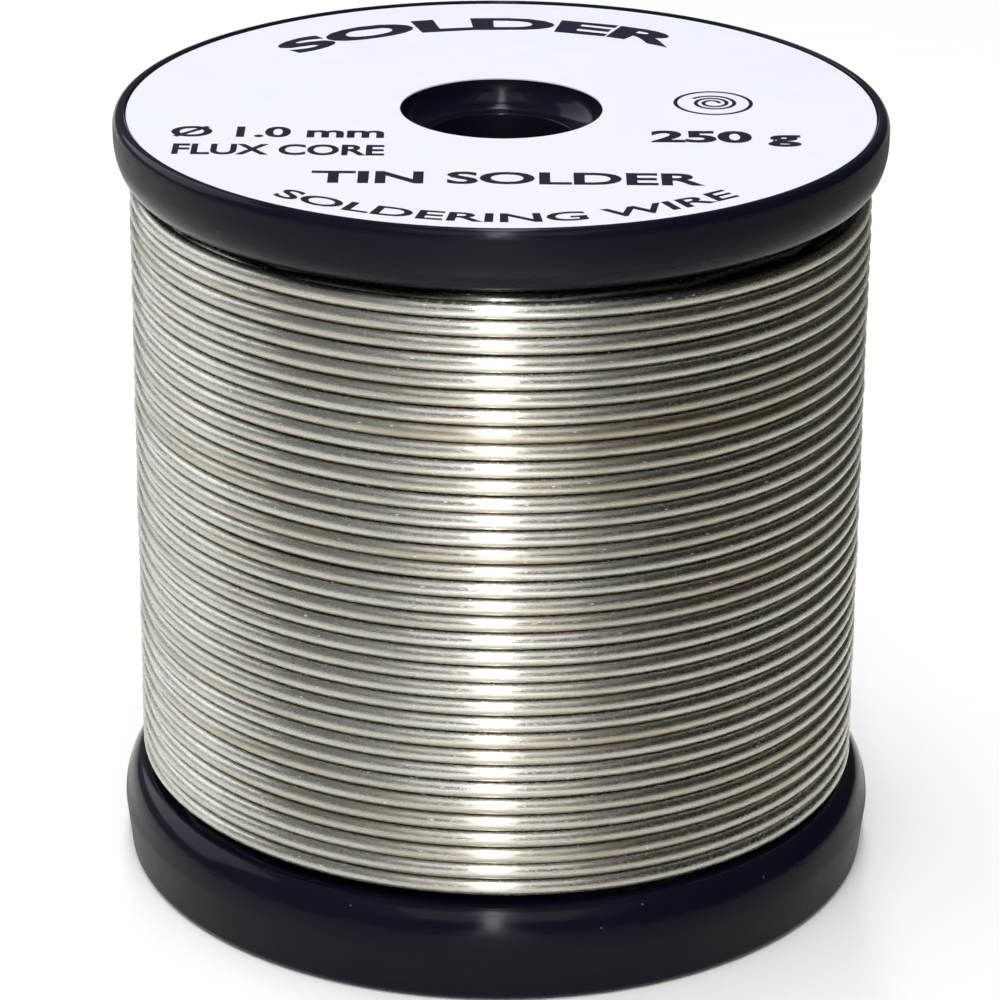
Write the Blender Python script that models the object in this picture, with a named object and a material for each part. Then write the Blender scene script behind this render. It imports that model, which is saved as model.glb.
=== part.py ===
"""A 250 g spool of flux-cored solder wire: a three-piece plastic spool, its top label and the wound wire.

Everything is in metres. The spool stands on its lower flange, with its axis on +Z and the origin at
the centre of the face that it rests on. The wire is one piece in reality: it is drawn here as its
start, its layers, and the last turn with its free end, so that each is a solid of its own.
"""

import math

import bmesh
import bpy
from mathutils import Matrix, Vector

MM = 0.001

# The wire and how it is wound: clockwise seen from above, each layer with the same number of turns.
WIRE_RADIUS = 0.50 * MM
FLUX_RADIUS = 0.20 * MM
FLUX_GAP = 0.02 * MM
TURN_PITCH = 1.05 * MM
TURNS = 35
LAYERS = 15
LAYER_STEP = 0.91 * MM
WIRE_BEND_RADIUS = 2.3 * MM

# The barrel, a tube that the wire is wound on.
BARREL_OUTER = 8.3 * MM
BARREL_INNER = 6.8 * MM

# The flanges. The lower one is deeper and a little wider than the upper one, with a band below its
# shoulder. An edge or a shoulder is a quarter of an ellipse, given as its half width and half height.
# The upper one has a shallow recess for the label, with a narrow raised rim round it.
UPPER_RADIUS = 23.0 * MM
UPPER_THICKNESS = 3.85 * MM
UPPER_EDGE = Vector((0.5, 0.7)) * MM
RECESS_RADIUS = 22.3 * MM
RECESS_DEPTH = 0.25 * MM
UPPER_SHOULDER = Vector((1.3, 2.6)) * MM
LOWER_RADIUS = 23.3 * MM
LOWER_THICKNESS = 5.8 * MM
LOWER_EDGE = Vector((0.5, 0.5)) * MM
LOWER_SHOULDER = Vector((1.5, 2.6)) * MM
LOWER_BAND_TAPER = 0.3 * MM

# The hub of each flange: a mouth like a shallow bowl, a bore, and a spigot that holds the barrel.
MOUTH_RADIUS = 6.0 * MM
MOUTH_DEPTH = 1.6 * MM
BORE_RADIUS = 4.35 * MM
SPIGOT_LENGTH = 5.0 * MM
SPIGOT_CHAMFER = 0.4 * MM
SOCKET_DEPTH = 1.0 * MM
FIT_GAP = 0.05 * MM

# The printed label, in the recess of the upper flange.
LABEL_RADIUS = 22.2 * MM
LABEL_THICKNESS = 0.10 * MM
LABEL_GAP = 0.03 * MM

# Clearances between the winding and what it lies against.
WINDING_GAP = 0.10 * MM
LAYER_GAP = 0.05 * MM

# The slots that hold the two ends of the wire, one in each flange.
SLOT_WIDTH = 1.4 * MM
SLOT_START = 0.5 * MM
SLOT_LENGTH = 2.5 * MM
SLOT_OVERCUT = 1.0 * MM
END_SLOT_DEPTH = 2.2 * MM
START_FOOT_Z = 1.8 * MM
START_ANGLE = math.radians(200)
START_BEND_LEFT = math.radians(60)
END_ANGLE = math.radians(75)
LAST_TURN_SWEEP = math.radians(345)

# How finely round shapes are divided.
FLANGE_SEGMENTS = 56
RING_SEGMENTS = 40
ARC_STEPS = 5
WIRE_SIDES = 8
TURN_STEPS = 46
BEND_STEPS = 5
SHARP_ANGLE = math.radians(35)
SAME_POINT = 0.01 * MM

# Heights worked out from the sizes above.
WINDING_BOTTOM = LOWER_THICKNESS + WINDING_GAP
LOWEST_WIRE_Z = WINDING_BOTTOM + WIRE_RADIUS
HIGHEST_WIRE_Z = LOWEST_WIRE_Z + TURNS * TURN_PITCH
WINDING_TOP = HIGHEST_WIRE_Z + WIRE_RADIUS
UPPER_FACE_Z = WINDING_TOP + WINDING_GAP
LABEL_FACE_Z = UPPER_FACE_Z + UPPER_THICKNESS - RECESS_DEPTH
FIRST_LAYER_RADIUS = BARREL_OUTER + WINDING_GAP + WIRE_RADIUS
LAST_LAYER_RADIUS = FIRST_LAYER_RADIUS + (LAYERS - 1) * LAYER_STEP


def clear_scene():
    for obj in list(bpy.data.objects):
        bpy.data.objects.remove(obj, do_unlink=True)


def material(name, color, roughness, metallic=0.0):
    made = bpy.data.materials.new(name)
    made.use_nodes = True
    shader = made.node_tree.nodes["Principled BSDF"]
    shader.inputs["Base Color"].default_value = (*color, 1.0)
    shader.inputs["Roughness"].default_value = roughness
    shader.inputs["Metallic"].default_value = metallic
    return made


def object_from(bm, name, look):
    """Closes off a bmesh as a named object with smooth round faces and sharp corners."""
    bmesh.ops.recalc_face_normals(bm, faces=bm.faces)
    mesh = bpy.data.meshes.new(name)
    bm.to_mesh(mesh)
    bm.free()
    mesh.materials.append(look)
    mesh.shade_smooth()
    mesh.set_sharp_from_angle(angle=SHARP_ANGLE)
    obj = bpy.data.objects.new(name, mesh)
    bpy.context.collection.objects.link(obj)
    return obj


def lathe(name, outline, segments, look):
    """Turns a closed outline of (radius, height) points round the Z axis."""
    bm = bmesh.new()
    points = [bm.verts.new((radius, 0.0, height)) for radius, height in outline]
    edges = [bm.edges.new((point, after)) for point, after in zip(points, points[1:] + points[:1])]
    bmesh.ops.spin(
        bm,
        geom=points + edges,
        cent=(0.0, 0.0, 0.0),
        axis=(0.0, 0.0, 1.0),
        angle=math.tau,
        steps=segments,
        use_merge=True,
    )
    bmesh.ops.remove_doubles(bm, verts=bm.verts, dist=SAME_POINT)
    return object_from(bm, name, look)


def quarter(centre, half, start, steps):
    """Points on a quarter of an ellipse about centre, from the angle start and on by 90 degrees."""
    points = []
    for step in range(steps + 1):
        angle = start + step / steps * math.pi / 2
        points.append((centre[0] + half[0] * math.cos(angle), centre[1] + half[1] * math.sin(angle)))
    return points


def flange_outline(radius, thickness, edge, shoulder, taper=0.0, recess=0.0):
    """A flange seen in section. Height 0 is its inner face, and its rim is at thickness. Its outer
    face lies at the rim's height, or lower by the depth of the recess.
    """
    socket_outer = BARREL_OUTER + FIT_GAP
    spigot = BARREL_INNER - FIT_GAP
    rim_radius = radius - taper
    face = thickness - recess
    outline = quarter((radius - shoulder.x, shoulder.y), shoulder, -math.pi / 2, 2 * ARC_STEPS)
    outline += quarter((rim_radius - edge.x, thickness - edge.y), edge, 0.0, ARC_STEPS)
    if recess:
        outline += [(RECESS_RADIUS, thickness), (RECESS_RADIUS, face)]
    mouth = quarter(
        (BORE_RADIUS, face), (MOUTH_RADIUS - BORE_RADIUS, MOUTH_DEPTH), -math.pi / 2, ARC_STEPS
    )
    outline += reversed(mouth)
    outline += [
        (BORE_RADIUS, -SPIGOT_LENGTH),
        (spigot - SPIGOT_CHAMFER, -SPIGOT_LENGTH),
        (spigot, -SPIGOT_LENGTH + SPIGOT_CHAMFER),
        (spigot, SOCKET_DEPTH),
        (socket_outer, SOCKET_DEPTH),
        (socket_outer, 0.0),
    ]
    # Where the shoulder meets the band with no straight stretch between, the two share one point.
    kept = []
    for point in outline:
        if not kept or math.dist(point, kept[-1]) > SAME_POINT:
            kept.append(point)
    return kept


def upward(outline, face_z):
    return [(radius, face_z + height) for radius, height in outline]


def downward(outline, face_z):
    return [(radius, face_z - height) for radius, height in outline]


def on_layer(radius, angle, along, height):
    """A point of a layer at the given angle, moved along the tangent there by the length along."""
    outward = Vector((math.cos(angle), math.sin(angle), 0.0))
    forward = Vector((-math.sin(angle), math.cos(angle), 0.0))
    return radius * outward + along * forward + Vector((0.0, 0.0, height))


def slot_cutter(name, radius, angle, side, low, high):
    """A box on the wire's path, which makes the slot for one end of the wire. Side is its direction
    along the tangent from the given angle: 1 is anticlockwise seen from above, and -1 is clockwise.
    """
    bm = bmesh.new()
    middle = side * (SLOT_START + SLOT_LENGTH / 2)
    place = Matrix.Rotation(angle, 4, "Z") @ Matrix.Translation((radius, middle, (low + high) / 2))
    size = Matrix.Diagonal((SLOT_WIDTH, SLOT_LENGTH, high - low, 1.0))
    bmesh.ops.create_cube(bm, size=1.0, matrix=place @ size)
    cutter = object_from(bm, name, bpy.data.materials["spool_plastic"])
    cutter.hide_render = True
    cutter.display_type = "WIRE"
    return cutter


def cut(obj, cutter):
    modifier = obj.modifiers.new("slot", "BOOLEAN")
    modifier.operation = "DIFFERENCE"
    modifier.solver = "EXACT"
    modifier.object = cutter


def bend(turned):
    """How far a bend of the wire has gone along, and how far up or down, once it has turned that much."""
    return WIRE_BEND_RADIUS * math.sin(turned), WIRE_BEND_RADIUS * (1 - math.cos(turned))


def last_turn_path():
    """The last turn, which climbs to the upper flange, then the bend up into the flange's slot."""
    path = []
    for step in range(TURN_STEPS):
        left = LAST_TURN_SWEEP * (1 - step / TURN_STEPS)
        height = HIGHEST_WIRE_Z - left / math.tau * TURN_PITCH
        path.append(on_layer(LAST_LAYER_RADIUS, END_ANGLE + left, 0.0, height))
    for step in range(BEND_STEPS + 1):
        along, rise = bend(step / BEND_STEPS * math.pi / 2)
        path.append(on_layer(LAST_LAYER_RADIUS, END_ANGLE, -along, HIGHEST_WIRE_Z + rise))
    return path


def start_path():
    """The start of the wire, from low in the lower flange's slot up to just below the first turn."""
    vertical = math.pi / 2
    path = [on_layer(FIRST_LAYER_RADIUS, START_ANGLE, WIRE_BEND_RADIUS, START_FOOT_Z)]
    for step in range(BEND_STEPS + 1):
        along, drop = bend(vertical + step / BEND_STEPS * (START_BEND_LEFT - vertical))
        path.append(on_layer(FIRST_LAYER_RADIUS, START_ANGLE, along, LOWEST_WIRE_Z - drop))
    return path


def section_matrices(path):
    """One frame for each point of a path that lies on a cylinder: Z along the path, X radial."""
    frames = []
    for index, point in enumerate(path):
        before = path[max(index - 1, 0)]
        after = path[min(index + 1, len(path) - 1)]
        along = (after - before).normalized()
        radial = Vector((point.x, point.y, 0.0)).normalized()
        radial = (radial - along * radial.dot(along)).normalized()
        across = along.cross(radial)
        turn = Matrix((radial, across, along)).transposed().to_4x4()
        frames.append(Matrix.Translation(point) @ turn)
    return frames


def ring_of_verts(bm, radius, frame):
    made = bmesh.ops.create_circle(bm, radius=radius, segments=WIRE_SIDES, matrix=frame)
    return made["verts"]


def tube(name, path, outer, inner, look):
    """A round rod along the path, or an open tube where inner is more than 0."""
    bm = bmesh.new()
    frames = section_matrices(path)
    rings = [ring_of_verts(bm, outer, frame) for frame in frames]
    if inner:
        # The skin runs out along the outside, back along the inside, and joins its own start.
        rings += [ring_of_verts(bm, inner, frame) for frame in reversed(frames)]
        rings.append(rings[0])
    else:
        bm.faces.new(rings[0])
        bm.faces.new(rings[-1])
    for ring, after in zip(rings, rings[1:]):
        for side in range(WIRE_SIDES):
            bm.faces.new((ring[side - 1], ring[side], after[side], after[side - 1]))
    return object_from(bm, name, look)


def add_barrel(look):
    low = LOWER_THICKNESS - SOCKET_DEPTH + FIT_GAP
    high = UPPER_FACE_Z + SOCKET_DEPTH - FIT_GAP
    outline = [(BARREL_INNER, low), (BARREL_OUTER, low), (BARREL_OUTER, high), (BARREL_INNER, high)]
    lathe("spool_barrel", outline, RING_SEGMENTS, look)


def add_upper_flange(look):
    outline = flange_outline(
        UPPER_RADIUS, UPPER_THICKNESS, UPPER_EDGE, UPPER_SHOULDER, recess=RECESS_DEPTH
    )
    flange = lathe("upper_flange", upward(outline, UPPER_FACE_Z), FLANGE_SEGMENTS, look)
    low = UPPER_FACE_Z - SLOT_OVERCUT
    high = UPPER_FACE_Z + END_SLOT_DEPTH
    cut(flange, slot_cutter("end_slot_cutter", LAST_LAYER_RADIUS, END_ANGLE, -1, low, high))


def add_lower_flange(look):
    outline = flange_outline(
        LOWER_RADIUS, LOWER_THICKNESS, LOWER_EDGE, LOWER_SHOULDER, LOWER_BAND_TAPER
    )
    flange = lathe("lower_flange", downward(outline, LOWER_THICKNESS), FLANGE_SEGMENTS, look)
    low = -SLOT_OVERCUT
    high = LOWER_THICKNESS + SLOT_OVERCUT
    cut(flange, slot_cutter("start_slot_cutter", FIRST_LAYER_RADIUS, START_ANGLE, 1, low, high))


def add_label(look):
    low = LABEL_FACE_Z + LABEL_GAP
    high = low + LABEL_THICKNESS
    outline = [(MOUTH_RADIUS, low), (LABEL_RADIUS, low), (LABEL_RADIUS, high), (MOUTH_RADIUS, high)]
    lathe("top_label", outline, FLANGE_SEGMENTS, look)


def add_wire_layers(look):
    """One closed ring for each layer. The outermost one leaves room for the last turn above it."""
    outside = LAYER_STEP - WIRE_RADIUS - LAYER_GAP
    last_turn_low = HIGHEST_WIRE_Z - LAST_TURN_SWEEP / math.tau * TURN_PITCH - WIRE_RADIUS
    for layer in range(LAYERS):
        centre = FIRST_LAYER_RADIUS + layer * LAYER_STEP
        inner = centre - WIRE_RADIUS
        is_last = layer == LAYERS - 1
        outer = centre + (WIRE_RADIUS if is_last else outside)
        high = last_turn_low - LAYER_GAP if is_last else WINDING_TOP
        outline = [(inner, WINDING_BOTTOM), (outer, WINDING_BOTTOM), (outer, high), (inner, high)]
        lathe(f"wire_layer_{layer + 1:02d}", outline, RING_SEGMENTS, look)


def add_wire_ends(solder, flux):
    tube("wire_start", start_path(), WIRE_RADIUS, 0.0, solder)
    path = last_turn_path()
    tube("wire_last_turn", path, WIRE_RADIUS, FLUX_RADIUS + FLUX_GAP, solder)
    tube("flux_core", path, FLUX_RADIUS, 0.0, flux)


def main():
    clear_scene()
    plastic = material("spool_plastic", (0.012, 0.011, 0.016), 0.22)
    paper = material("label_paper", (0.90, 0.92, 0.98), 0.45)
    solder = material("solder", (0.66, 0.64, 0.58), 0.28, metallic=1.0)
    flux = material("flux", (0.55, 0.36, 0.12), 0.5)
    add_barrel(plastic)
    add_upper_flange(plastic)
    add_lower_flange(plastic)
    add_label(paper)
    add_wire_layers(solder)
    add_wire_ends(solder, flux)


main()
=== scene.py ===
"""The looks of a 250 g solder wire spool: the wound wire at its real length, the moulded flanges, the
label and its print, their materials, and a plain studio. Everything is in metres, in the frame of the
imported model: +Z runs up the spool's axis, and the spool stands on Z = 0.
"""

import math

import bmesh
import bpy
import numpy as np
from mathutils import Matrix, Vector


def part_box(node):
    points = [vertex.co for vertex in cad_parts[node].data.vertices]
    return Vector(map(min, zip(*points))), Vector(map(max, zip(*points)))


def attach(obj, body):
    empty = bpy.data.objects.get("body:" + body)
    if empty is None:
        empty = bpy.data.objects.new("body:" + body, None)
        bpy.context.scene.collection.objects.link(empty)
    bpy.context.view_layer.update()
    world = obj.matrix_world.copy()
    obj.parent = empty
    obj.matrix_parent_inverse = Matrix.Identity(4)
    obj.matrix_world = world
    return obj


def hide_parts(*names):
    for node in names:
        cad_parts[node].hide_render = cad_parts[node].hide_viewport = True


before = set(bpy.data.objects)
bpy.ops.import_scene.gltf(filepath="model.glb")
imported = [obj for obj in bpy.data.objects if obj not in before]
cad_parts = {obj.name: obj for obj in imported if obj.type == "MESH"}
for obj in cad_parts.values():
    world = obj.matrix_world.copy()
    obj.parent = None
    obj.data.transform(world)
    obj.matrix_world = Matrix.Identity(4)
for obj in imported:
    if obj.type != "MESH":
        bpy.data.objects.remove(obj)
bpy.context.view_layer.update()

MM = 0.001
SEED = 11

# The wire, wound clockwise seen from above. Odd layers climb and even layers descend, and every layer
# ends at the same angle, at the back.
WIRE_RADIUS = 0.50 * MM
TURN_PITCH = 1.05 * MM
TURNS = 35
LAYERS = 15
LAYER_STEP = 0.91 * MM
WIRE_BEND_RADIUS = 2.3 * MM
LOWEST_WIRE_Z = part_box("wire_layer_01")[0].z + WIRE_RADIUS
HIGHEST_WIRE_Z = LOWEST_WIRE_Z + TURNS * TURN_PITCH
LAST_LAYER_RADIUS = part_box("wire_layer_15")[1].x - WIRE_RADIUS
FIRST_LAYER_RADIUS = LAST_LAYER_RADIUS - (LAYERS - 1) * LAYER_STEP
START_ANGLE = math.radians(200)
START_FOOT_Z = 1.8 * MM
END_ANGLE = math.radians(75)
LAYER_CHANGE_SWEEP = math.radians(50)

# How finely each part of the wire is drawn. The hidden layers are coarse.
TOP_LAYER_STEPS = 96
TOP_LAYER_SIDES = 16
HIDDEN_STEPS = 16
HIDDEN_SIDES = 5
BEND_STEPS = 10
WIRE_SHARP_ANGLE = math.radians(80)

# How far the turns of the top layer stray from a perfect helix, and over what length.
STRAY_UP = 0.022 * MM
STRAY_OUT = 0.030 * MM
STRAY_LENGTH = 22 * MM

# One place at the front left where two turns of the top layer are forced apart.
LOOSE_TURN = 19
LOOSE_ANGLE = math.radians(235)
LOOSE_SPREAD = math.radians(24)
LOOSE_SHIFT = 0.04 * MM

# The flanges. Each edge and shoulder is a quarter of an ellipse, given as half width and half height.
# The upper one has a shallow recess for the label, with a narrow raised rim round it.
UPPER_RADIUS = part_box("upper_flange")[1].x
UPPER_TOP_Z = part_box("upper_flange")[1].z
UPPER_THICKNESS = 3.85 * MM
UPPER_EDGE = Vector((0.5, 0.7)) * MM
UPPER_SHOULDER = Vector((1.3, 2.6)) * MM
RECESS_RADIUS = 22.3 * MM
RECESS_DEPTH = 0.25 * MM
RECESS_EDGE = 0.04 * MM
LOWER_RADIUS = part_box("lower_flange")[1].x
LOWER_THICKNESS = 5.8 * MM
LOWER_EDGE = Vector((0.5, 0.5)) * MM
LOWER_SHOULDER = Vector((1.5, 2.6)) * MM
LOWER_BAND_TAPER = 0.3 * MM
UPPER_FACE_Z = UPPER_TOP_Z - UPPER_THICKNESS

# The hub of each flange, and the slots that hold the ends of the wire.
SOCKET_RADIUS = 8.35 * MM
SOCKET_DEPTH = 1.0 * MM
SPIGOT_RADIUS = 6.75 * MM
SPIGOT_LENGTH = 5.0 * MM
SPIGOT_CHAMFER = 0.4 * MM
MOUTH_RADIUS = 6.0 * MM
MOUTH_DEPTH = 1.6 * MM
BORE_RADIUS = 4.35 * MM
BORE_EDGE = 0.12 * MM
SLOT_WIDTH = 1.4 * MM
SLOT_START = 0.5 * MM
SLOT_LENGTH = 2.5 * MM
SLOT_OVERCUT = 1.0 * MM
END_SLOT_DEPTH = 2.2 * MM
FLANGE_SEGMENTS = 224
ARC_STEPS = 12
LIP_STEPS = 3
SAME_POINT = 0.002 * MM
TURNED_SHARP_ANGLE = math.radians(30)

# The label and its print.
LABEL_LOW_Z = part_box("top_label")[0].z
LABEL_TOP_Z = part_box("top_label")[1].z
LABEL_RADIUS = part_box("top_label")[1].x
LABEL_EDGE = 0.03 * MM
LABEL_SEGMENTS = 256
INK_THICKNESS = 0.006 * MM

# The typeface: the height of its capitals, how far it is drawn out each way and how close two of its
# points must be to count as one, as shares of its nominal size, and how finely its curves are divided.
CAPITAL_HEIGHT = 0.729
LETTER_DEPTH = 0.5
SAME_LETTER_POINT = 1e-5
LETTER_CURVE_STEPS = 4

# The sign beside the hole: a coil of wire in a ring.
SIGN_CENTRE = Vector((12.6, 1.2)) * MM
SIGN_RING_RADIUS = 2.25 * MM
SIGN_LINE = 0.24 * MM
SIGN_COIL_TURNS = 2.4
SIGN_COIL_INNER = 0.35 * MM
SIGN_COIL_OUTER = 1.45 * MM
SIGN_STEPS = 72

# The camera, in front of the spool and looking down on it.
CAMERA_PLACE = Vector((0.1, -243.23, 123.38)) * MM
CAMERA_PITCH = math.radians(22.57)
CAMERA_ROLL = math.radians(0.45)
CAMERA_LENS = 154.1
CAMERA_SENSOR = 36.0
CAMERA_CLIP = (0.01, 20.0)

# The floor and the cards that lie on it, which only reflections show. The dark card is clear close to
# the spool and on its left.
STAGE_SEGMENTS = 96
FLOOR_RADIUS = 2.5
FLOOR_Z = -0.02 * MM
LIGHT_CARD_Z = 1.0 * MM
DARK_CARD_RADIUS = 1.5
DARK_CARD_Z = 0.5 * MM
DARK_CARD_COVER = 0.7
CLEAR_DISTANCE = 0.045
COVERED_DISTANCE = 0.11
CLEAR_X = -0.10
COVERED_X = 0.02

# Colours: linear red, green and blue, and alpha. A pair is the two ends of a mix.
PLASTIC = ((0.0032, 0.0031, 0.0080, 1.0), (0.0046, 0.0043, 0.0098, 1.0))
DUST = (0.07, 0.07, 0.075, 1.0)
CLEAN_PAPER = ((0.665, 0.668, 0.735, 1.0), (0.695, 0.696, 0.755, 1.0))
HANDLED_PAPER = ((0.640, 0.650, 0.718, 1.0), (0.670, 0.678, 0.740, 1.0))
INK = ((0.006, 0.004, 0.014, 1.0), (0.014, 0.010, 0.026, 1.0))
BRIGHT_SOLDER = ((0.475, 0.465, 0.432, 1.0), (0.500, 0.485, 0.440, 1.0))
DULL_SOLDER = ((0.400, 0.380, 0.332, 1.0), (0.410, 0.370, 0.292, 1.0))
# Painted reflection and shade: a dark amber-brown that tints the wire beside the crevices where turns
# touch.
GAP_EDGE_PAINTED_REFLECTION = (0.36, 0.29, 0.14, 1.0)
# Painted shade: a near-black brown that darkens the wire in the crevices where turns touch.
CREVICE_PAINTED_SHADE = (0.085, 0.062, 0.025, 1.0)
FRESH_NICK = (0.92, 0.91, 0.88, 1.0)
ROSIN = ((0.50, 0.29, 0.07, 1.0), (0.62, 0.42, 0.16, 1.0))
FLOOR = ((0.905, 0.900, 0.885, 1.0), (0.925, 0.920, 0.905, 1.0))
DARK_CARD = ((0.10, 0.10, 0.10, 1.0), (0.13, 0.13, 0.13, 1.0))
BACKDROP = (0.93, 0.94, 0.95, 1.0)

# The grey room that reflections show, from its left at 0 to its right at 1.
ROOM_SHADES = (
    (0.05, (0.30, 0.32, 0.345, 1.0)),
    (0.50, (0.160, 0.170, 0.190, 1.0)),
    (0.80, (0.046, 0.046, 0.046, 1.0)),
    (0.97, (0.010, 0.009, 0.007, 1.0)),
)

# The tints of the lights.
WHITE = (1.0, 1.0, 1.0)
COOL_WHITE = (0.97, 0.98, 1.0)
WINDOW_WHITE = (0.92, 0.97, 1.0)
FLOOR_WHITE = (0.98, 0.98, 1.0)
WARM_YELLOW = (1.0, 0.82, 0.20)


def link(obj):
    bpy.context.collection.objects.link(obj)
    return obj


def part(name, mesh, look, slot, *nodes):
    """Makes a piece of the object that rides on its one body and stands for the CAD nodes named."""
    mesh.materials.append(look)
    obj = link(bpy.data.objects.new(name, mesh))
    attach(obj, "root")
    if nodes:
        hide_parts(*nodes)
    return obj


# Node helpers -------------------------------------------------------------------------------------


def new_tree(name):
    made = bpy.data.materials.new(name)
    made.use_nodes = True
    return made, made.node_tree


def put(tree, socket, value):
    if isinstance(value, bpy.types.NodeSocket):
        tree.links.new(value, socket)
    else:
        socket.default_value = value


def node(tree, kind, settings=None, **inputs):
    """Adds a node. Its inputs are given by name, with _ for a space, as a value or another's output."""
    made = tree.nodes.new("ShaderNode" + kind)
    for name, value in (settings or {}).items():
        setattr(made, name, value)
    for name, value in inputs.items():
        put(tree, made.inputs[name.replace("_", " ")], value)
    return made


def calc(tree, operation, *values):
    made = tree.nodes.new("ShaderNodeMath")
    made.operation = operation
    for socket, value in zip(made.inputs, values):
        put(tree, socket, value)
    return made.outputs[0]


def total(tree, first, *others):
    """The sum of all the values."""
    for other in others:
        first = calc(tree, "ADD", first, other)
    return first


def blend(tree, share, first, second):
    """A colour that goes from the first to the second as share goes from 0 to 1."""
    made = tree.nodes.new("ShaderNodeMix")
    made.data_type = "RGBA"
    put(tree, made.inputs["Factor"], share)
    put(tree, made.inputs["A"], first)
    put(tree, made.inputs["B"], second)
    return made.outputs["Result"]


def span(tree, value, low, high, to_low, to_high):
    """Maps the range low to high onto to_low to to_high, and holds the value at the ends."""
    made = node(
        tree,
        "MapRange",
        Value=value,
        From_Min=low,
        From_Max=high,
        To_Min=to_low,
        To_Max=to_high,
    )
    return made.outputs["Result"]


def noise(tree, place, scale, detail=2.0, roughness=0.5):
    made = node(tree, "TexNoise", Vector=place, Scale=scale, Detail=detail, Roughness=roughness)
    return made.outputs["Fac"]


def stretched(tree, place, x, y, z=1.0):
    made = node(tree, "Mapping", Vector=place, Scale=(x, y, z))
    return made.outputs["Vector"]


def specks(tree, place, scale, size, share):
    """Small round spots: 1 inside them and 0 outside. Share is how many of the cells have one."""
    cells = node(tree, "TexVoronoi", Vector=place, Scale=scale)
    inside = calc(tree, "LESS_THAN", cells.outputs["Distance"], size)
    chance = node(tree, "SeparateColor", Color=cells.outputs["Color"]).outputs["Red"]
    chosen = calc(tree, "LESS_THAN", chance, share)
    return calc(tree, "MULTIPLY", inside, chosen)


def bump(tree, height, distance, strength=1.0, normal=None):
    made = node(tree, "Bump", Height=height, Distance=distance, Strength=strength)
    if normal is not None:
        tree.links.new(normal, made.inputs["Normal"])
    return made.outputs["Normal"]


# Materials ----------------------------------------------------------------------------------------


def spool_plastic():
    """Glossy black polystyrene: slightly uneven gloss, fine scratches and a little dust. The upright
    faces, which rub on other spools and on the spindle, are duller."""
    look, tree = new_tree("spool_plastic")
    shader = tree.nodes["Principled BSDF"]
    place = node(tree, "TexCoord").outputs["Object"]
    patches = noise(tree, place, scale=260.0, detail=3.0)
    scratches = noise(tree, stretched(tree, place, 900.0, 900.0, 9000.0), scale=1.0, detail=1.0)
    ripple = noise(tree, place, scale=700.0, detail=2.0)
    dust = specks(tree, place, scale=820.0, size=0.055, share=0.16)
    normal = node(tree, "NewGeometry").outputs["Normal"]
    upward = node(tree, "SeparateXYZ", Vector=normal).outputs["Z"]
    rubbed = span(tree, calc(tree, "ABSOLUTE", upward), 0.12, 0.45, 1.0, 0.0)

    clean = blend(tree, patches, *PLASTIC)
    put(tree, shader.inputs["Base Color"], blend(tree, dust, clean, DUST))
    gloss = span(tree, patches, 0.3, 0.7, 0.10, 0.17)
    scratched = span(tree, scratches, 0.55, 0.8, 0.0, 0.10)
    worn = calc(tree, "MULTIPLY", rubbed, 0.30)
    dusty = calc(tree, "MULTIPLY", dust, 0.4)
    put(tree, shader.inputs["Roughness"], total(tree, gloss, scratched, worn, dusty))
    put(tree, shader.inputs["Normal"], bump(tree, ripple, 0.006 * MM, 0.5))
    shader.inputs["IOR"].default_value = 1.49
    shader.inputs["Specular IOR Level"].default_value = 0.11
    return look


def label_paper():
    """Smooth coated paper, faintly blue-white, with a soft fibre texture and slight handling marks."""
    look, tree = new_tree("label_paper")
    shader = tree.nodes["Principled BSDF"]
    place = node(tree, "TexCoord").outputs["Object"]
    fibres = noise(tree, place, scale=5200.0, detail=4.0, roughness=0.6)
    marks = noise(tree, place, scale=190.0, detail=3.0)

    clean = blend(tree, fibres, *CLEAN_PAPER)
    handled = blend(tree, fibres, *HANDLED_PAPER)
    handling = span(tree, marks, 0.5, 0.75, 0.0, 1.0)
    put(tree, shader.inputs["Base Color"], blend(tree, handling, clean, handled))
    put(tree, shader.inputs["Roughness"], span(tree, marks, 0.3, 0.7, 0.42, 0.55))
    put(tree, shader.inputs["Normal"], bump(tree, fibres, 0.004 * MM, 0.5))
    shader.inputs["Specular IOR Level"].default_value = 0.35
    return look


def printing_ink():
    """Dark violet-black ink, a little thinner in places."""
    look, tree = new_tree("printing_ink")
    shader = tree.nodes["Principled BSDF"]
    place = node(tree, "TexCoord").outputs["Object"]
    cover = noise(tree, place, scale=2600.0, detail=3.0, roughness=0.6)
    thinness = span(tree, cover, 0.4, 0.75, 0.0, 1.0)
    put(tree, shader.inputs["Base Color"], blend(tree, thinness, *INK))
    put(tree, shader.inputs["Roughness"], span(tree, cover, 0.3, 0.7, 0.40, 0.55))
    shader.inputs["Specular IOR Level"].default_value = 0.15
    return look


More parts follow.
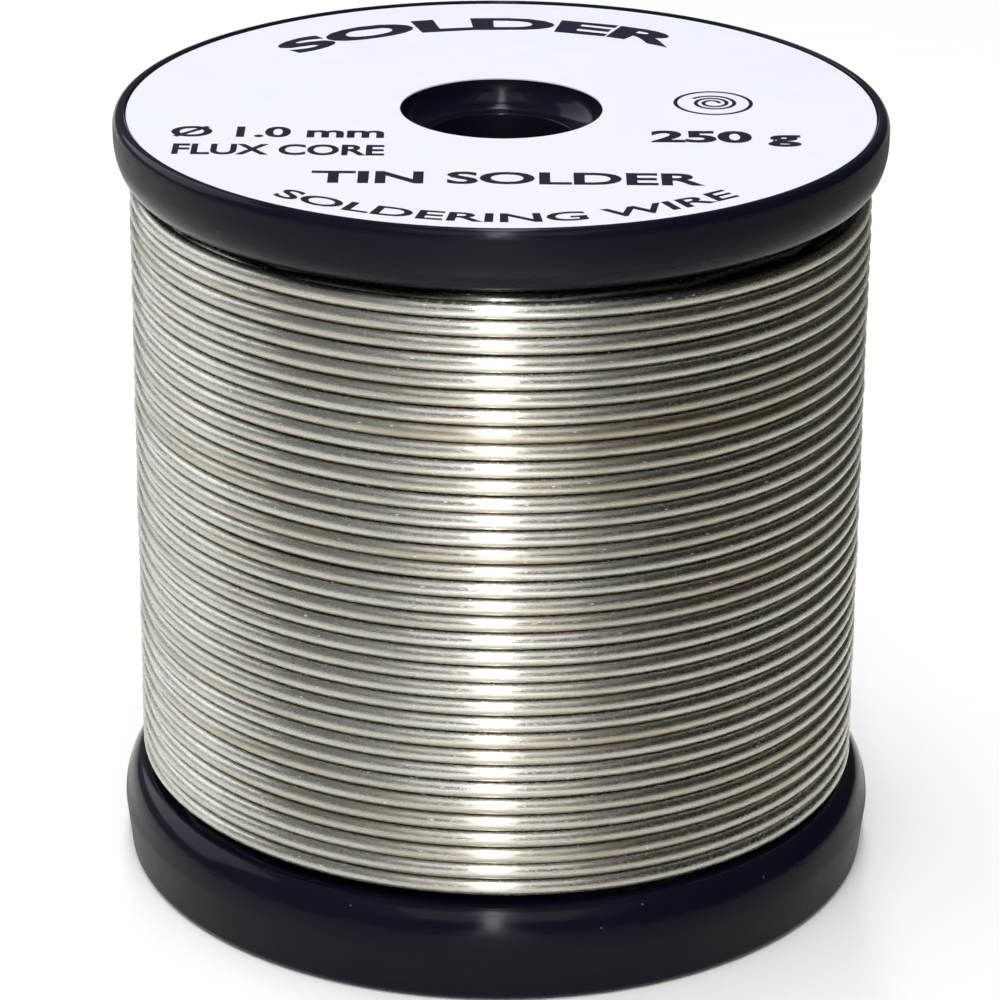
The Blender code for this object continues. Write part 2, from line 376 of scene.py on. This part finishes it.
def solder():
    """Bright drawn solder. The wire's map gives millimetres round it and along it, so that the draw
    marks run along the wire and the scuffs lie on its upper side. Painted shade and a painted brown
    reflection darken it where turns touch."""
    look, tree = new_tree("solder")
    shader = tree.nodes["Principled BSDF"]
    place = node(tree, "TexCoord").outputs["Object"]
    wire = node(tree, "UVMap", {"uv_map": "wire"}).outputs["UV"]
    around = node(tree, "SeparateXYZ", Vector=wire).outputs["X"]
    outside = math.pi * WIRE_RADIUS / MM
    from_outside = calc(tree, "ABSOLUTE", calc(tree, "SUBTRACT", around, outside))

    marks = noise(tree, stretched(tree, wire, 9.0, 0.25), scale=1.0, detail=4.0, roughness=0.65)
    grain = noise(tree, stretched(tree, wire, 5.0, 1.6), scale=1.0, detail=3.0, roughness=0.7)
    tarnish = noise(tree, stretched(tree, wire, 0.5, 0.035), scale=1.0, detail=3.0, roughness=0.6)
    rubs = noise(tree, stretched(tree, wire, 7.0, 2.6), scale=1.0, detail=2.0, roughness=0.6)
    patches = noise(tree, place, scale=120.0, detail=3.0)
    nicks = specks(tree, stretched(tree, wire, 2.4, 0.7), scale=1.0, size=0.080, share=0.55)

    bright = blend(tree, patches, *BRIGHT_SOLDER)
    dull = blend(tree, patches, *DULL_SOLDER)
    metal = blend(tree, span(tree, tarnish, 0.42, 0.68, 0.0, 1.0), bright, dull)
    # Painted reflection and shade: the wire turns darker and browner beside the crevices where turns
    # touch.
    metal = blend(tree, span(tree, from_outside, 0.56, 0.74, 0.0, 0.42), metal, GAP_EDGE_PAINTED_REFLECTION)
    # Painted shade: the wire turns near-black in the narrow crevices where turns touch.
    metal = blend(tree, span(tree, from_outside, 0.74, 0.80, 0.0, 0.80), metal, CREVICE_PAINTED_SHADE)
    put(tree, shader.inputs["Base Color"], blend(tree, nicks, metal, FRESH_NICK))

    gloss = span(tree, marks, 0.3, 0.7, 0.19, 0.31)
    tarnished = span(tree, tarnish, 0.4, 0.7, 0.0, 0.05)
    upper_side = span(tree, around, 1.60, 1.75, 0.02, 0.15)
    scuffed = calc(tree, "MULTIPLY", span(tree, rubs, 0.54, 0.64, 0.0, 1.0), upper_side)
    nicked = calc(tree, "MULTIPLY", nicks, 0.45)
    put(tree, shader.inputs["Roughness"], total(tree, gloss, tarnished, scuffed, nicked))

    drawn = bump(tree, marks, 0.020 * MM, 0.09)
    dented = bump(tree, grain, 0.020 * MM, 0.20, drawn)
    put(tree, shader.inputs["Normal"], bump(tree, nicks, 0.03 * MM, 0.6, dented))
    tangent = node(tree, "Tangent", {"direction_type": "UV_MAP", "uv_map": "wire"})
    put(tree, shader.inputs["Tangent"], tangent.outputs["Tangent"])
    shader.inputs["Metallic"].default_value = 1.0
    shader.inputs["Anisotropic"].default_value = 0.90
    return look


def rosin():
    """Amber rosin flux, clouded inside."""
    look, tree = new_tree("rosin")
    shader = tree.nodes["Principled BSDF"]
    place = node(tree, "TexCoord").outputs["Object"]
    clouds = noise(tree, place, scale=1800.0, detail=3.0)
    put(tree, shader.inputs["Base Color"], blend(tree, clouds, *ROSIN))
    put(tree, shader.inputs["Roughness"], span(tree, clouds, 0.3, 0.7, 0.35, 0.55))
    return look


# The wire -----------------------------------------------------------------------------------------


def on_layer(radius, angle, along, height):
    """A point on a layer at the given angle, moved along the tangent there by the length along."""
    outward = Vector((math.cos(angle), math.sin(angle), 0.0))
    forward = Vector((-math.sin(angle), math.cos(angle), 0.0))
    return radius * outward + along * forward + Vector((0.0, 0.0, height))


def bend(turned):
    """How far a bend of the wire has gone along, and how far up or down, once it has turned so much."""
    return WIRE_BEND_RADIUS * math.sin(turned), WIRE_BEND_RADIUS * (1 - math.cos(turned))


def start_leg():
    """From the foot in the lower flange's slot, up and round onto the first layer."""
    path = [on_layer(FIRST_LAYER_RADIUS, START_ANGLE, WIRE_BEND_RADIUS, START_FOOT_Z)]
    for step in range(BEND_STEPS):
        along, drop = bend(math.pi / 2 * (1 - step / BEND_STEPS))
        path.append(on_layer(FIRST_LAYER_RADIUS, START_ANGLE, along, LOWEST_WIRE_Z - drop))
    return path


def end_leg():
    """From the top layer's last point, round and up into the upper flange's slot."""
    path = []
    for step in range(1, BEND_STEPS + 1):
        along, rise = bend(step / BEND_STEPS * math.pi / 2)
        path.append(on_layer(LAST_LAYER_RADIUS, END_ANGLE, -along, HIGHEST_WIRE_Z + rise))
    return path


def smooth_step(share):
    share = min(max(share, 0.0), 1.0)
    return share * share * (3 - 2 * share)


def layer_turns(layer):
    """Layer 0 starts at the slot and the others at the end angle, where every layer ends."""
    if layer == 0:
        return TURNS - 1 + (START_ANGLE - END_ANGLE) / math.tau
    return TURNS


def layer_path(layer, steps_per_turn, include_last):
    """One layer of the winding. Its radius grows from that of the layer below over part of a turn."""
    sweep = layer_turns(layer) * math.tau
    steps = math.ceil(layer_turns(layer) * steps_per_turn)
    radius = FIRST_LAYER_RADIUS + layer * LAYER_STEP
    climbs = layer % 2 == 0
    points = []
    for step in range(steps + include_last):
        turned = sweep * step / steps
        share = step / steps if climbs else 1 - step / steps
        height = LOWEST_WIRE_Z + share * (HIGHEST_WIRE_Z - LOWEST_WIRE_Z)
        below = LAYER_STEP * (1 - smooth_step(turned / LAYER_CHANGE_SWEEP)) if layer else 0.0
        points.append(on_layer(radius - below, END_ANGLE + sweep - turned, 0.0, height))
    return points


def smooth_noise(lengths, rng):
    """A gently wandering value between about -1 and 1 for each length along the wire."""
    knots = np.arange(0.0, lengths[-1] + 3 * STRAY_LENGTH, STRAY_LENGTH)
    heights = rng.uniform(-1.0, 1.0, len(knots))
    share = lengths / STRAY_LENGTH
    left = share.astype(int)
    ease = share - left
    ease = ease * ease * (3 - 2 * ease)
    return heights[left] * (1 - ease) + heights[left + 1] * ease


def strayed(path):
    """The top layer's path with its turns moved slightly up, down, in and out, but not at its ends."""
    points = np.array(path)
    lengths = np.concatenate(([0.0], np.cumsum(np.linalg.norm(np.diff(points, axis=0), axis=1))))
    rng = np.random.default_rng(SEED)
    held = np.minimum(1.0, np.minimum(lengths, lengths[-1] - lengths) / (2 * STRAY_LENGTH))
    outward = points * (1.0, 1.0, 0.0)
    outward /= np.linalg.norm(outward, axis=1)[:, None]
    points += outward * (STRAY_OUT * held * smooth_noise(lengths, rng))[:, None]
    points[:, 2] += STRAY_UP * held * smooth_noise(lengths, rng)
    return points


def forced_apart(path):
    """The top layer's path with the turns on each side of the loose place moved up and down from it."""
    points = np.array(path)
    turn = (points[:, 2] - LOWEST_WIRE_Z) / TURN_PITCH - LOOSE_TURN
    angle = np.arctan2(points[:, 1], points[:, 0]) % math.tau
    nearness = np.exp(-(((angle - LOOSE_ANGLE) / LOOSE_SPREAD) ** 2))
    shift = LOOSE_SHIFT * nearness * np.sign(turn)
    points[:, 2] += np.where(np.abs(turn) < 1.0, shift, 0.0)
    return points


def wire_mesh(name, path, sides):
    """A closed tube along the path. Its map counts millimetres round the wire, from the side that faces
    the axis, and millimetres along it."""
    points = np.array(path)
    count = len(points)
    along = np.gradient(points, axis=0)
    along /= np.linalg.norm(along, axis=1)[:, None]
    radial = points * (1.0, 1.0, 0.0)
    radial /= np.linalg.norm(radial, axis=1)[:, None]
    radial -= along * np.sum(radial * along, axis=1)[:, None]
    radial /= np.linalg.norm(radial, axis=1)[:, None]
    across = np.cross(along, radial)
    angles = (math.pi + np.arange(sides) * math.tau / sides)[None, :, None]
    ring = np.cos(angles) * radial[:, None] + np.sin(angles) * across[:, None]
    verts = (points[:, None] + WIRE_RADIUS * ring).reshape(-1, 3)

    rows = np.arange(count - 1)[:, None] * sides
    side = np.arange(sides)[None, :]
    after = (side + 1) % sides
    quads = np.stack((rows + side, rows + after, rows + sides + after, rows + sides + side), axis=-1)
    first_cap = list(range(sides))[::-1]
    last_cap = [(count - 1) * sides + corner for corner in range(sides)]
    mesh = bpy.data.meshes.new(name)
    mesh.from_pydata(verts.tolist(), [], quads.reshape(-1, 4).tolist() + [first_cap, last_cap])

    lengths = np.concatenate(([0.0], np.cumsum(np.linalg.norm(np.diff(points, axis=0), axis=1)))) / MM
    girth = math.tau * WIRE_RADIUS / MM
    round_it = np.broadcast_to(side / sides * girth, (count - 1, sides))
    step = girth / sides
    corners_round = np.stack((round_it, round_it + step, round_it + step, round_it), axis=-1)
    near = np.broadcast_to(lengths[:-1, None], (count - 1, sides))
    far = np.broadcast_to(lengths[1:, None], (count - 1, sides))
    corners_along = np.stack((near, near, far, far), axis=-1)
    uv = np.stack((corners_round, corners_along), axis=-1).reshape(-1, 2)
    caps = np.tile((girth / 2, 0.0), (2 * sides, 1))
    layer = mesh.uv_layers.new(name="wire")
    layer.data.foreach_set("uv", np.concatenate((uv, caps)).astype(np.float32).ravel())
    mesh.shade_smooth()
    mesh.set_sharp_from_angle(angle=WIRE_SHARP_ANGLE)
    return mesh


def add_wire(look):
    hidden = start_leg()
    for layer in range(LAYERS - 1):
        hidden += layer_path(layer, HIDDEN_STEPS, False)
    top = strayed(forced_apart(layer_path(LAYERS - 1, TOP_LAYER_STEPS, True) + end_leg()))
    hidden.append(Vector(top[0]))

    nodes = [f"wire_layer_{layer + 1:02d}" for layer in range(LAYERS - 1)]
    below = part(
        "wire_lower_layers",
        wire_mesh("wire_lower_layers", hidden, HIDDEN_SIDES),
        look,
        "solder_wire",
        "wire_start",
        *nodes,
    )
    above = part(
        "wire_top_layer",
        wire_mesh("wire_top_layer", top, TOP_LAYER_SIDES),
        look,
        "solder_wire",
        f"wire_layer_{LAYERS}",
        "wire_last_turn",
    )


# The spool ----------------------------------------------------------------------------------------


def quarter(centre, half, start, steps):
    """Points on a quarter of an ellipse about centre, from the angle start and on by 90 degrees."""
    points = []
    for step in range(steps + 1):
        angle = start + step / steps * math.pi / 2
        points.append((centre[0] + half[0] * math.cos(angle), centre[1] + half[1] * math.sin(angle)))
    return points


def flange_outline(radius, thickness, edge, shoulder, taper=0.0, recess=0.0):
    """A flange seen in section. Height 0 is its inner face, and its rim is at thickness. Its outer face
    lies at the rim's height, or lower by the depth of the recess."""
    rim_radius = radius - taper
    face = thickness - recess
    outline = quarter((radius - shoulder.x, shoulder.y), shoulder, -math.pi / 2, 2 * ARC_STEPS)
    outline += quarter((rim_radius - edge.x, thickness - edge.y), edge, 0.0, ARC_STEPS)
    if recess:
        outline += [
            (RECESS_RADIUS + RECESS_EDGE, thickness),
            (RECESS_RADIUS, thickness - RECESS_EDGE),
            (RECESS_RADIUS, face),
        ]
    lip_radius = BORE_RADIUS + BORE_EDGE
    lip_z = face - MOUTH_DEPTH - BORE_EDGE
    bowl_half = (MOUTH_RADIUS - lip_radius, MOUTH_DEPTH)
    outline += reversed(quarter((lip_radius, face), bowl_half, -math.pi / 2, ARC_STEPS))
    outline += quarter((lip_radius, lip_z), (BORE_EDGE, BORE_EDGE), math.pi / 2, LIP_STEPS)
    outline += [
        (BORE_RADIUS, -SPIGOT_LENGTH),
        (SPIGOT_RADIUS - SPIGOT_CHAMFER, -SPIGOT_LENGTH),
        (SPIGOT_RADIUS, -SPIGOT_LENGTH + SPIGOT_CHAMFER),
        (SPIGOT_RADIUS, SOCKET_DEPTH),
        (SOCKET_RADIUS, SOCKET_DEPTH),
        (SOCKET_RADIUS, 0.0),
    ]
    kept = []
    for point in outline:
        if not kept or math.dist(point, kept[-1]) > SAME_POINT:
            kept.append(point)
    return kept


def lathe(name, outline, segments):
    """Turns a closed outline of (radius, height) points round the Z axis."""
    rings = np.array(outline)
    count = len(rings)
    angles = np.arange(segments) * math.tau / segments
    verts = np.stack(
        (
            np.outer(np.cos(angles), rings[:, 0]),
            np.outer(np.sin(angles), rings[:, 0]),
            np.broadcast_to(rings[:, 1], (segments, count)),
        ),
        axis=-1,
    )
    start = np.arange(segments)[:, None] * count
    after = (np.arange(segments)[:, None] + 1) % segments * count
    point = np.arange(count)[None, :]
    further = (point + 1) % count
    faces = np.stack((start + point, after + point, after + further, start + further), axis=-1)
    mesh = bpy.data.meshes.new(name)
    mesh.from_pydata(verts.reshape(-1, 3).tolist(), [], faces.reshape(-1, 4).tolist())
    bm = bmesh.new()
    bm.from_mesh(mesh)
    bmesh.ops.recalc_face_normals(bm, faces=bm.faces)
    bm.to_mesh(mesh)
    bm.free()
    mesh.shade_smooth()
    mesh.set_sharp_from_angle(angle=TURNED_SHARP_ANGLE)
    return mesh


def cut_slot(flange, angle, side, radius, low, high):
    """Cuts the slot for one end of the wire. Side 1 is anticlockwise from the angle, -1 clockwise."""
    bm = bmesh.new()
    middle = side * (SLOT_START + SLOT_LENGTH / 2)
    place = Matrix.Rotation(angle, 4, "Z") @ Matrix.Translation((radius, middle, (low + high) / 2))
    size = Matrix.Diagonal((SLOT_WIDTH, SLOT_LENGTH, high - low, 1.0))
    bmesh.ops.create_cube(bm, size=1.0, matrix=place @ size)
    mesh = bpy.data.meshes.new(flange.name + "_slot")
    bm.to_mesh(mesh)
    bm.free()
    cutter = link(bpy.data.objects.new(mesh.name, mesh))
    modifier = flange.modifiers.new("slot", "BOOLEAN")
    modifier.operation = "DIFFERENCE"
    modifier.object = cutter
    bpy.context.view_layer.update()
    evaluated = flange.evaluated_get(bpy.context.evaluated_depsgraph_get())
    flange.data = bpy.data.meshes.new_from_object(evaluated)
    flange.modifiers.clear()
    bpy.data.objects.remove(cutter, do_unlink=True)


def add_flanges(look):
    outline = flange_outline(
        UPPER_RADIUS,
        UPPER_THICKNESS,
        UPPER_EDGE,
        UPPER_SHOULDER,
        recess=RECESS_DEPTH,
    )
    upward = [(radius, UPPER_FACE_Z + height) for radius, height in outline]
    mesh = lathe("upper_flange_moulding", upward, FLANGE_SEGMENTS)
    upper = part("upper_flange_moulding", mesh, look, "spool_plastic", "upper_flange")
    low = UPPER_FACE_Z - SLOT_OVERCUT
    high = UPPER_FACE_Z + END_SLOT_DEPTH
    cut_slot(upper, END_ANGLE, -1, LAST_LAYER_RADIUS, low, high)

    outline = flange_outline(
        LOWER_RADIUS,
        LOWER_THICKNESS,
        LOWER_EDGE,
        LOWER_SHOULDER,
        taper=LOWER_BAND_TAPER,
    )
    downward = [(radius, LOWER_THICKNESS - height) for radius, height in outline]
    mesh = lathe("lower_flange_moulding", downward, FLANGE_SEGMENTS)
    lower = part("lower_flange_moulding", mesh, look, "spool_plastic", "lower_flange")
    low = -SLOT_OVERCUT
    high = LOWER_THICKNESS + SLOT_OVERCUT
    cut_slot(lower, START_ANGLE, 1, FIRST_LAYER_RADIUS, low, high)


# The label and its print --------------------------------------------------------------------------


def add_label(look):
    low, high = LABEL_LOW_Z, LABEL_TOP_Z
    outline = [
        (MOUTH_RADIUS, low),
        (LABEL_RADIUS, low),
        (LABEL_RADIUS, high - LABEL_EDGE),
        (LABEL_RADIUS - LABEL_EDGE, high),
        (MOUTH_RADIUS + LABEL_EDGE, high),
        (MOUTH_RADIUS, high - LABEL_EDGE),
    ]
    mesh = lathe("ring_label", outline, LABEL_SEGMENTS)
    return part("ring_label", mesh, look, "label_paper", "top_label")


def lettering(text, width, height, weight):
    """Flat lettering as a mesh, fitted to the width and to capitals of that height, from the origin."""
    curve = bpy.data.curves.new("lettering", "FONT")
    curve.body = text
    curve.offset = weight
    curve.extrude = LETTER_DEPTH
    curve.resolution_u = LETTER_CURVE_STEPS
    obj = link(bpy.data.objects.new("lettering", curve))
    bpy.context.view_layer.update()
    evaluated = obj.evaluated_get(bpy.context.evaluated_depsgraph_get())
    mesh = bpy.data.meshes.new_from_object(evaluated)
    bpy.data.objects.remove(obj, do_unlink=True)
    bpy.data.curves.remove(curve)
    bm = bmesh.new()
    bm.from_mesh(mesh)
    bpy.data.meshes.remove(mesh)
    bmesh.ops.remove_doubles(bm, verts=bm.verts, dist=SAME_LETTER_POINT)
    left = min(vert.co.x for vert in bm.verts)
    right = max(vert.co.x for vert in bm.verts)
    capitals = CAPITAL_HEIGHT + 2 * weight
    for vert in bm.verts:
        vert.co.x = (vert.co.x - left) / (right - left) * width
        vert.co.y = (vert.co.y + weight) / capitals * height
        vert.co.z = LABEL_TOP_Z + (vert.co.z + LETTER_DEPTH) * INK_THICKNESS
    return bm


def straight(text, left, baseline, width, height, weight):
    """Lettering along a straight line, from the left end of its baseline."""
    bm = lettering(text, width, height, weight)
    for vert in bm.verts:
        vert.co.x += left
        vert.co.y += baseline
    return bm


def on_arc(text, middle, sweep, baseline, height, weight, tops_out=True):
    """Lettering along an arc about the label's centre, with its tops towards the rim or the centre."""
    bm = lettering(text, 1.0, height, weight)
    side = 1 if tops_out else -1
    for vert in bm.verts:
        angle = middle + side * sweep * (0.5 - vert.co.x)
        radius = baseline + side * vert.co.y
        vert.co.x = radius * math.cos(angle)
        vert.co.y = radius * math.sin(angle)
    return bm


def ink_line(points, thickness, closed=False):
    """A printed line through the points, of even thickness."""
    bm = bmesh.new()
    count = len(points)
    rows = []
    for index, point in enumerate(points):
        if closed:
            before = points[index - 1]
            after = points[(index + 1) % count]
        else:
            before = points[max(index - 1, 0)]
            after = points[min(index + 1, count - 1)]
        along = (after - before).normalized()
        across = Vector((-along.y, along.x)) * thickness / 2
        corners = []
        for side, height in ((-1, 0), (1, 0), (1, 1), (-1, 1)):
            place = point + side * across
            corners.append(bm.verts.new((place.x, place.y, LABEL_TOP_Z + height * INK_THICKNESS)))
        rows.append(corners)
    if closed:
        rows.append(rows[0])
    else:
        bm.faces.new(rows[0])
        bm.faces.new(rows[-1])
    for row, after in zip(rows, rows[1:]):
        for corner in range(4):
            bm.faces.new((row[corner - 1], row[corner], after[corner], after[corner - 1]))
    bmesh.ops.recalc_face_normals(bm, faces=bm.faces)
    return bm


def coil_sign():
    """A plain pictogram: a small coil of wire in a ring."""
    ring = []
    coil = []
    for step in range(SIGN_STEPS):
        angle = step / SIGN_STEPS * math.tau
        ring.append(SIGN_CENTRE + SIGN_RING_RADIUS * Vector((math.cos(angle), math.sin(angle))))
        share = step / (SIGN_STEPS - 1)
        turned = share * SIGN_COIL_TURNS * math.tau
        reach = SIGN_COIL_INNER + share * (SIGN_COIL_OUTER - SIGN_COIL_INNER)
        coil.append(SIGN_CENTRE + reach * Vector((math.cos(turned), math.sin(turned))))
    return [ink_line(ring, SIGN_LINE, closed=True), ink_line(coil, SIGN_LINE)]


def add_print(look):
    """Plain generic words in the places where the label has its print."""
    words = [
        on_arc(
            "SOLDER",
            middle=math.radians(95),
            sweep=math.radians(88),
            baseline=16.3 * MM,
            height=2.8 * MM,
            weight=0.045,
        ),
        straight(
            "Ø 1.0 mm",
            left=-19.2 * MM,
            baseline=-6.1 * MM,
            width=12.4 * MM,
            height=2.1 * MM,
            weight=0.030,
        ),
        straight(
            "FLUX CORE",
            left=-18.9 * MM,
            baseline=-9.4 * MM,
            width=12.2 * MM,
            height=2.1 * MM,
            weight=0.030,
        ),
        straight(
            "250 g",
            left=8.7 * MM,
            baseline=-6.5 * MM,
            width=8.7 * MM,
            height=2.35 * MM,
            weight=0.040,
        ),
        straight(
            "TIN SOLDER",
            left=-10.7 * MM,
            baseline=-14.4 * MM,
            width=22.2 * MM,
            height=2.3 * MM,
            weight=0.030,
        ),
        on_arc(
            "SOLDERING WIRE",
            middle=math.radians(-89),
            sweep=math.radians(77),
            baseline=21.0 * MM,
            height=1.6 * MM,
            weight=0.022,
            tops_out=False,
        ),
    ]
    whole = bmesh.new()
    for bm in words + coil_sign():
        piece = bpy.data.meshes.new("ink")
        bm.to_mesh(piece)
        bm.free()
        whole.from_mesh(piece)
        bpy.data.meshes.remove(piece)
    mesh = bpy.data.meshes.new("label_print")
    whole.to_mesh(mesh)
    whole.free()
    return part("label_print", mesh, look, "label_paper")


# The studio ---------------------------------------------------------------------------------------


def add_camera():
    forward = Vector((0.0, math.cos(CAMERA_PITCH), -math.sin(CAMERA_PITCH)))
    level = Vector((1.0, 0.0, 0.0))
    upright = level.cross(forward)
    right = level * math.cos(CAMERA_ROLL) + upright * math.sin(CAMERA_ROLL)
    up = right.cross(forward)
    data = bpy.data.cameras.new("camera")
    data.lens = CAMERA_LENS
    data.sensor_width = CAMERA_SENSOR
    data.clip_start, data.clip_end = CAMERA_CLIP
    camera = link(bpy.data.objects.new("camera", data))
    turn = Matrix((right, up, -forward)).transposed().to_4x4()
    camera.matrix_world = Matrix.Translation(CAMERA_PLACE) @ turn
    bpy.context.scene.camera = camera


def area_light(name, size, radiance, color):
    """A rectangular light that the camera doesn't see, with its size in metres."""
    data = bpy.data.lights.new(name, "AREA")
    data.shape = "RECTANGLE"
    data.size, data.size_y = size
    data.energy = radiance * math.pi * size[0] * size[1]
    data.color = color
    light = link(bpy.data.objects.new(name, data))
    light.visible_camera = False
    return light


def add_light(name, azimuth, elevation, distance, size, radiance, color=WHITE, glossy=True):
    """A soft light that faces the middle of the spool. Azimuth 0 is the camera's side, and it grows to
    the right."""
    turn = math.radians(azimuth)
    lift = math.radians(elevation)
    away = Vector((math.sin(turn) * math.cos(lift), -math.cos(turn) * math.cos(lift), math.sin(lift)))
    light = area_light(name, size, radiance, color)
    light.location = Vector((0.0, 0.0, 0.5 * UPPER_TOP_Z)) + distance * away
    light.rotation_mode = "QUATERNION"
    light.rotation_quaternion = away.to_track_quat("Z", "Y")
    light.visible_glossy = glossy


def add_light_card(name, y, size, radiance, color):
    """A light that lies on the floor and faces up, and which only reflections on glossy faces show."""
    light = area_light(name, size, radiance, color)
    light.location = (0.0, y, LIGHT_CARD_Z)
    light.rotation_euler = (math.pi, 0.0, 0.0)
    light.visible_diffuse = False


def add_lights():
    add_light(
        "top_fill",
        azimuth=0.0,
        elevation=80.0,
        distance=1.1,
        size=(1.5, 1.5),
        radiance=1.06,
        glossy=False,
    )
    add_light(
        "front_soft",
        azimuth=0.0,
        elevation=58.0,
        distance=0.9,
        size=(1.15, 0.9),
        radiance=0.30,
    )
    add_light(
        "key_soft",
        azimuth=-0.5,
        elevation=56.0,
        distance=0.89,
        size=(0.68, 0.60),
        radiance=1.20,
    )
    add_light(
        "front_strip",
        azimuth=-0.5,
        elevation=42.0,
        distance=0.88,
        size=(0.06, 1.55),
        radiance=18.0,
        color=COOL_WHITE,
    )
    add_light(
        "over_strip",
        azimuth=-0.5,
        elevation=112.0,
        distance=0.88,
        size=(0.06, 0.7),
        radiance=12.0,
        color=COOL_WHITE,
    )
    add_light(
        "left_panel",
        azimuth=-122.0,
        elevation=33.0,
        distance=0.9,
        size=(0.85, 0.60),
        radiance=1.9,
        color=WINDOW_WHITE,
    )
    add_light_card("warm_card", y=0.0, size=(1.6, 1.6), radiance=0.11, color=WARM_YELLOW)
    add_light_card("floor_strip", y=-0.45, size=(0.045, 0.80), radiance=1.6, color=FLOOR_WHITE)


def add_world():
    """A plain grey room, lighter on the left than on the right, which the camera sees as pale."""
    world = bpy.data.worlds.new("studio")
    bpy.context.scene.world = world
    world.use_nodes = True
    tree = world.node_tree
    way = node(tree, "TexCoord").outputs["Generated"]
    parts = node(tree, "SeparateXYZ", Vector=way).outputs
    side = node(tree, "ValToRGB", Fac=calc(tree, "MULTIPLY_ADD", parts["X"], 0.5, 0.5))
    ramp = side.color_ramp
    ramp.elements[0].position, ramp.elements[0].color = ROOM_SHADES[0]
    ramp.elements[1].position, ramp.elements[1].color = ROOM_SHADES[-1]
    for position, shade in ROOM_SHADES[1:-1]:
        ramp.elements.new(position).color = shade
    seen = node(tree, "LightPath").outputs["Is Camera Ray"]
    lift = span(tree, parts["Z"], 0.1, 0.9, 0.85, 1.15)
    strength = node(tree, "Mix", Factor=seen, A=lift, B=1.0).outputs["Result"]
    background = tree.nodes["Background"].inputs
    put(tree, background["Color"], blend(tree, seen, side.outputs["Color"], BACKDROP))
    put(tree, background["Strength"], strength)


def add_disc(name, radius, height, look):
    """A round sheet of the stage, level and centred on the spool."""
    bm = bmesh.new()
    bmesh.ops.create_circle(bm, cap_ends=True, segments=STAGE_SEGMENTS, radius=radius)
    mesh = bpy.data.meshes.new(name)
    bm.to_mesh(mesh)
    bm.free()
    mesh.materials.append(look)
    disc = link(bpy.data.objects.new(name, mesh))
    disc.location.z = height
    return disc


def add_floor():
    """A wide pale floor, very slightly warm."""
    look, tree = new_tree("floor")
    shader = tree.nodes["Principled BSDF"]
    place = node(tree, "TexCoord").outputs["Object"]
    mottle = noise(tree, place, scale=9.0, detail=2.0)
    put(tree, shader.inputs["Base Color"], blend(tree, mottle, *FLOOR))
    shader.inputs["Roughness"].default_value = 0.38
    shader.inputs["Specular IOR Level"].default_value = 0.5
    add_disc("floor", FLOOR_RADIUS, FLOOR_Z, look)


def add_dark_card():
    """A dark card round the spool, which only reflections show: the floor looks pale close to the spool
    and on its left, and darker further off."""
    look, tree = new_tree("dark_card")
    shader = tree.nodes["Principled BSDF"]
    place = node(tree, "TexCoord").outputs["Object"]
    mottle = noise(tree, place, scale=9.0, detail=2.0)
    put(tree, shader.inputs["Base Color"], blend(tree, mottle, *DARK_CARD))
    shader.inputs["Roughness"].default_value = 0.8
    distance = node(tree, "VectorMath", {"operation": "LENGTH"}, Vector=place).outputs["Value"]
    sideways = node(tree, "SeparateXYZ", Vector=place).outputs["X"]
    far = span(tree, distance, CLEAR_DISTANCE, COVERED_DISTANCE, 0.0, DARK_CARD_COVER)
    right = span(tree, sideways, CLEAR_X, COVERED_X, 0.0, 1.0)
    put(tree, shader.inputs["Alpha"], calc(tree, "MULTIPLY", far, right))
    card = add_disc("dark_card", DARK_CARD_RADIUS, DARK_CARD_Z, look)
    card.visible_camera = False
    card.visible_diffuse = False
    card.visible_shadow = False
    card.visible_transmission = False


def main():
    bpy.context.scene.view_settings.view_transform = "Standard"
    add_camera()
    plastic = spool_plastic()
    paper = label_paper()
    metal = solder()
    add_wire(metal)
    add_flanges(plastic)
    add_label(paper)
    add_print(printing_ink())
    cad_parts["spool_barrel"].material_slots[0].material = plastic
    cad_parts["flux_core"].material_slots[0].material = rosin()
    add_floor()
    add_dark_card()
    add_lights()
    add_world()


main()
